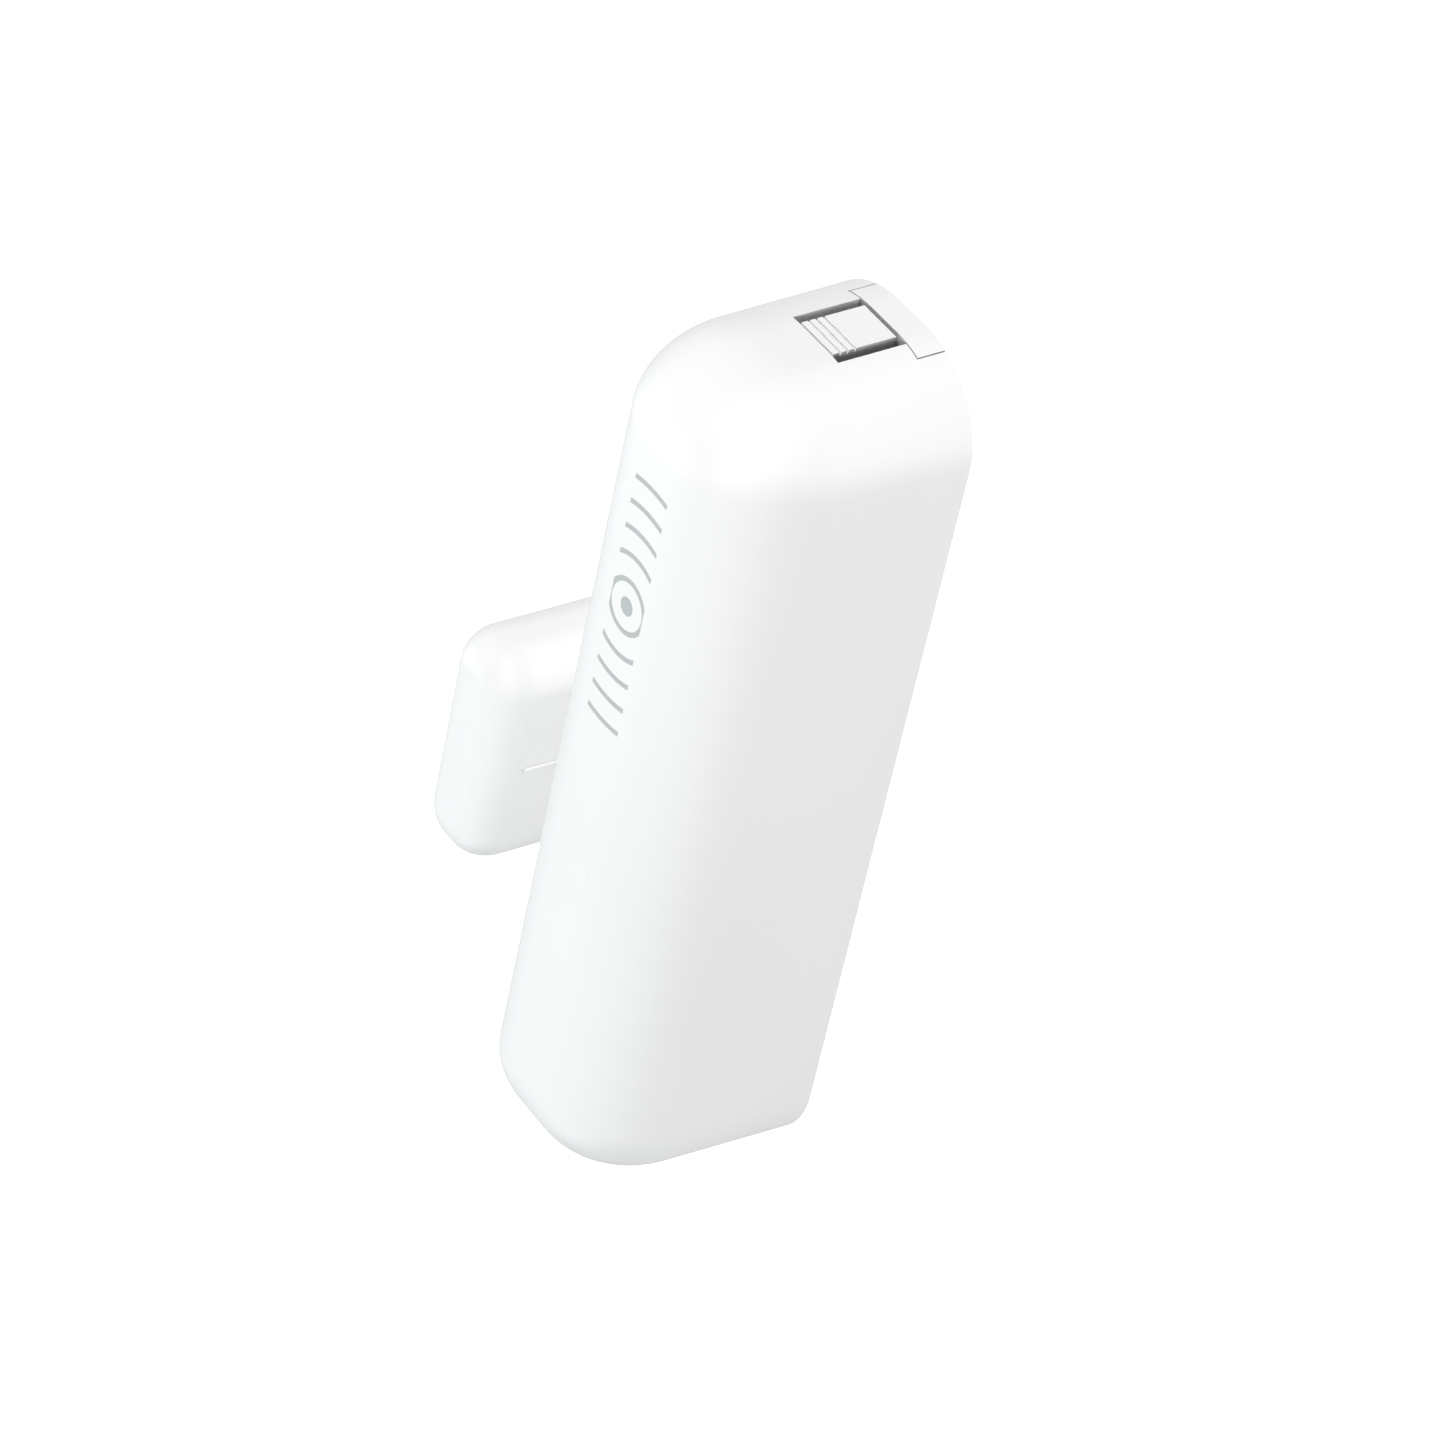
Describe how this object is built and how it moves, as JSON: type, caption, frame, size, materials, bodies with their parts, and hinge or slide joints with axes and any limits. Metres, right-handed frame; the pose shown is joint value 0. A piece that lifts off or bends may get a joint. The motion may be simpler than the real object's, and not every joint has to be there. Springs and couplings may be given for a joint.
{
  "type": "wireless door and window contact sensor",
  "caption": "Long rounded white sensor housing with a release latch in its end, clipped to a taped wall plate, beside a small taped magnet block.",
  "frame": {"origin": "centre of the sensor's wall face, the outer face of its adhesive pad", "axes": "+Z along the housing towards the release latch, +Y into the wall, -Y out to the room, the magnet unit on -X"},
  "size_m": [0.0384, 0.021, 0.075],
  "materials": {
    "white_shell": "satin moulded white plastic",
    "white_plate": "matt moulded white plastic",
    "foam_tape": "matt foam tape",
    "black_plastic": "matt moulded black plastic",
    "cell_can": "satin nickel plating",
    "cell_wrap": "shrink wrap",
    "spring_steel": "drawn wire and plated leaf",
    "board": "green solder mask on glass epoxy",
    "shield_metal": "tinned sheet",
    "antenna_copper": "enamelled copper wire",
    "reed_glass": "clear drawn glass",
    "led_lens": "clear moulded epoxy",
    "capacitor_sleeve": "heat-shrunk sleeve",
    "plunger_white": "matt moulded plastic",
    "ferrite": "nickel-free sintered magnet",
    "dark_foam": "open-cell foam"
  },
  "bodies": {
    "wall_plate": {"adhesive_pad": "foam_tape", "back_plate": "white_plate"},
    "sensor_unit": {"front_housing": "white_shell", "inner_chassis": "black_plastic", "battery_cell": "cell_can", "battery_sleeve": "cell_wrap", "positive_contact": "spring_steel", "negative_spring": "spring_steel", "circuit_board": "board", "radio_shield": "shield_metal", "controller_chip": "black_plastic", "crystal_can": "shield_metal", "helical_antenna": "antenna_copper", "reed_switch_glass": "reed_glass", "reed_switch_lead_upper": "spring_steel", "reed_switch_lead_lower": "spring_steel", "status_led": "led_lens", "bulk_capacitor": "capacitor_sleeve", "tamper_switch_base": "black_plastic", "board_screw_left": "spring_steel", "board_screw_right": "spring_steel", "latch_pivot_pin": "spring_steel", "latch_torsion_spring": "spring_steel"},
    "release_latch": {"release_latch": "white_shell"},
    "tamper_plunger": {"tamper_plunger": "plunger_white"},
    "magnet_unit": {"magnet_adhesive_pad": "foam_tape", "magnet_base_plate": "white_plate", "magnet_cover": "white_shell", "bar_magnet": "ferrite", "magnet_foam_block": "dark_foam"}
  },
  "joints": [
    {"name": "cover_swing", "type": "hinge", "parent": "wall_plate", "child": "sensor_unit", "pos_m": [0, -0.00265, -0.03685], "axis": [1, 0, 0], "range_deg": [0, 20]},
    {"name": "latch_press", "type": "hinge", "parent": "sensor_unit", "child": "release_latch", "pos_m": [0, -0.0085, 0.03515], "axis": [-1, 0, 0], "range_deg": [0, 6.5], "stiffness_Nm_per_rad": 0.08, "springref_deg": -6.88},
    {"name": "tamper_press", "type": "slide", "parent": "sensor_unit", "child": "tamper_plunger", "axis": [0, -1, 0], "range_m": [0, 0.0006], "stiffness_N_per_m": 200, "springref_m": -0.0015},
    {"name": "magnet_slide", "type": "slide", "parent": "wall_plate", "child": "magnet_unit", "axis": [-1, 0, 0], "range_m": [0, 0.05]}
  ]
}
